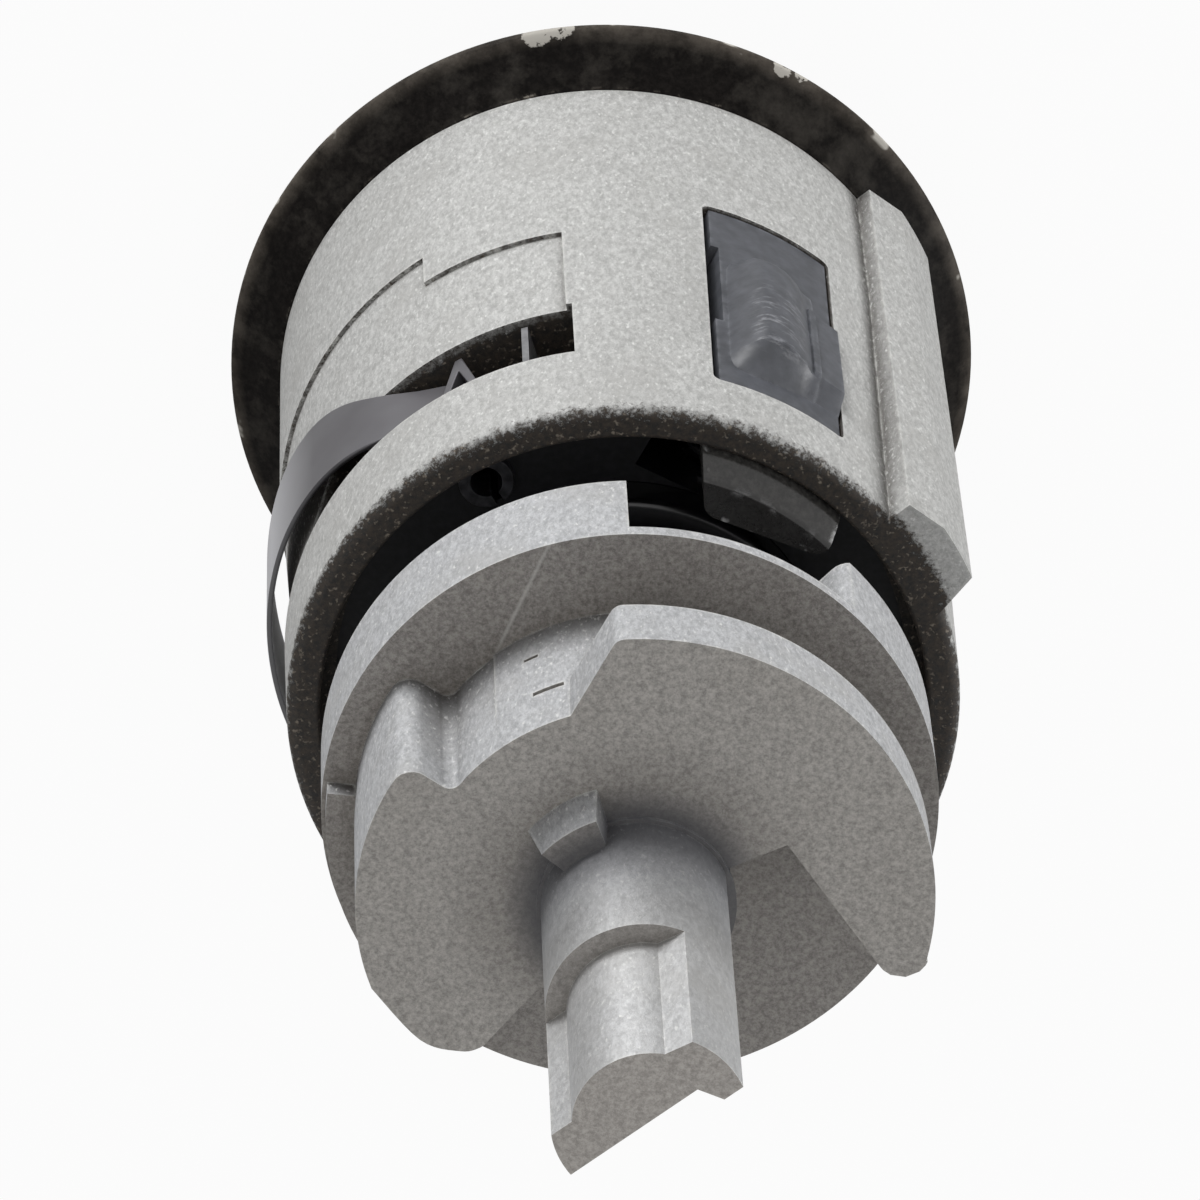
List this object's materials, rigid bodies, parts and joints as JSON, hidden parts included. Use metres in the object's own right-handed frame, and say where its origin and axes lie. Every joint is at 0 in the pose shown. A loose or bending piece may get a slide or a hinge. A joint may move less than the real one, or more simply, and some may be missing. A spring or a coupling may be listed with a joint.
{
  "type": "ignition lock cylinder",
  "caption": "Car ignition lock cylinder: black bezel, cast sleeve with key rib and sprung latch, wafer plug that turns a stepped cam and a half-round drive tail.",
  "frame": {"origin": "centre of the bezel's flat front ring, on which the part stands", "axes": "+Z along the key's axis from the bezel to the drive tail; +X and +Y square to it, the key slot's height along Y"},
  "size_m": [0.04, 0.04, 0.086],
  "materials": {
    "bezel_paint": "satin black paint, worn at the edges",
    "sleeve_zinc": "as-cast zinc alloy, tumbled, matt and speckled",
    "body_zinc": "dark oiled zinc casting",
    "actuator_zinc": "as-cast zinc alloy, matt, dulled on its rear faces",
    "plug_zinc": "machined zinc alloy",
    "spring_steel": "blued spring steel strip",
    "wire_steel": "drawn spring wire",
    "pin_steel": "ground steel pin",
    "cap_steel": "pressed and polished steel",
    "latch_plastic": "slate-grey moulded nylon",
    "bush_plastic": "black moulded acetal",
    "wafer_brass": "stamped brass"
  },
  "bodies": {
    "sleeve": {"bezel_cap": "bezel_paint", "lock_sleeve": "sleeve_zinc", "lock_body": "body_zinc", "body_pin": "pin_steel", "bearing_bush": "bush_plastic", "leaf_spring": "spring_steel", "slot_blade": "spring_steel", "latch_spring": "wire_steel"},
    "plug": {"key_plug": "plug_zinc", "face_cap": "cap_steel", "shutter_pin": "pin_steel", "shutter_spring": "wire_steel", "retaining_clip": "spring_steel", "actuator": "actuator_zinc", "cross_pin": "pin_steel", "wafer_spring_1": "wire_steel", "wafer_spring_2": "wire_steel", "wafer_spring_3": "wire_steel", "wafer_spring_4": "wire_steel", "wafer_spring_5": "wire_steel", "wafer_spring_6": "wire_steel", "wafer_spring_7": "wire_steel"},
    "latch": {"retaining_latch": "latch_plastic"},
    "shutter": {"shutter": "spring_steel"},
    "wafer_1": {"wafer_1": "wafer_brass"},
    "wafer_2": {"wafer_2": "wafer_brass"},
    "wafer_3": {"wafer_3": "wafer_brass"},
    "wafer_4": {"wafer_4": "wafer_brass"},
    "wafer_5": {"wafer_5": "wafer_brass"},
    "wafer_6": {"wafer_6": "wafer_brass"},
    "wafer_7": {"wafer_7": "wafer_brass"}
  },
  "joints": [
    {"name": "plug_turn", "type": "hinge", "parent": "sleeve", "child": "plug", "pos_m": [0, 0, 0], "axis": [0, 0, 1], "range_deg": [0, 105]},
    {"name": "latch_press", "type": "slide", "parent": "sleeve", "child": "latch", "axis": [0.4617, 0.887, 0], "range_m": [0, 0.0015], "stiffness_N_per_m": 600, "springref_m": -0.002, "deforming": ["latch_spring"]},
    {"name": "shutter_open", "type": "hinge", "parent": "plug", "child": "shutter", "pos_m": [0.00215, 0, 0.00163], "axis": [0, 1, 0], "range_deg": [0, 90], "stiffness_Nm_per_rad": 0.0005, "springref_deg": -28.65, "deforming": ["shutter_spring"]},
    {"name": "wafer_1_slide", "type": "slide", "parent": "plug", "child": "wafer_1", "axis": [0, -1, 0], "range_m": [-0.0009, 0], "stiffness_N_per_m": 120, "springref_m": -0.0032, "deforming": ["wafer_spring_1"]},
    {"name": "wafer_2_slide", "type": "slide", "parent": "plug", "child": "wafer_2", "axis": [0, 1, 0], "range_m": [-0.0009, 0], "stiffness_N_per_m": 120, "springref_m": -0.0032, "deforming": ["wafer_spring_2"]},
    {"name": "wafer_3_slide", "type": "slide", "parent": "plug", "child": "wafer_3", "axis": [0, -1, 0], "range_m": [-0.0009, 0], "stiffness_N_per_m": 120, "springref_m": -0.0032, "deforming": ["wafer_spring_3"]},
    {"name": "wafer_4_slide", "type": "slide", "parent": "plug", "child": "wafer_4", "axis": [0, 1, 0], "range_m": [-0.0009, 0], "stiffness_N_per_m": 120, "springref_m": -0.0032, "deforming": ["wafer_spring_4"]},
    {"name": "wafer_5_slide", "type": "slide", "parent": "plug", "child": "wafer_5", "axis": [0, -1, 0], "range_m": [-0.0009, 0], "stiffness_N_per_m": 120, "springref_m": -0.0032, "deforming": ["wafer_spring_5"]},
    {"name": "wafer_6_slide", "type": "slide", "parent": "plug", "child": "wafer_6", "axis": [0, 1, 0], "range_m": [-0.0009, 0], "stiffness_N_per_m": 120, "springref_m": -0.0032, "deforming": ["wafer_spring_6"]},
    {"name": "wafer_7_slide", "type": "slide", "parent": "plug", "child": "wafer_7", "axis": [0, -1, 0], "range_m": [-0.0009, 0], "stiffness_N_per_m": 120, "springref_m": -0.0032, "deforming": ["wafer_spring_7"]}
  ]
}
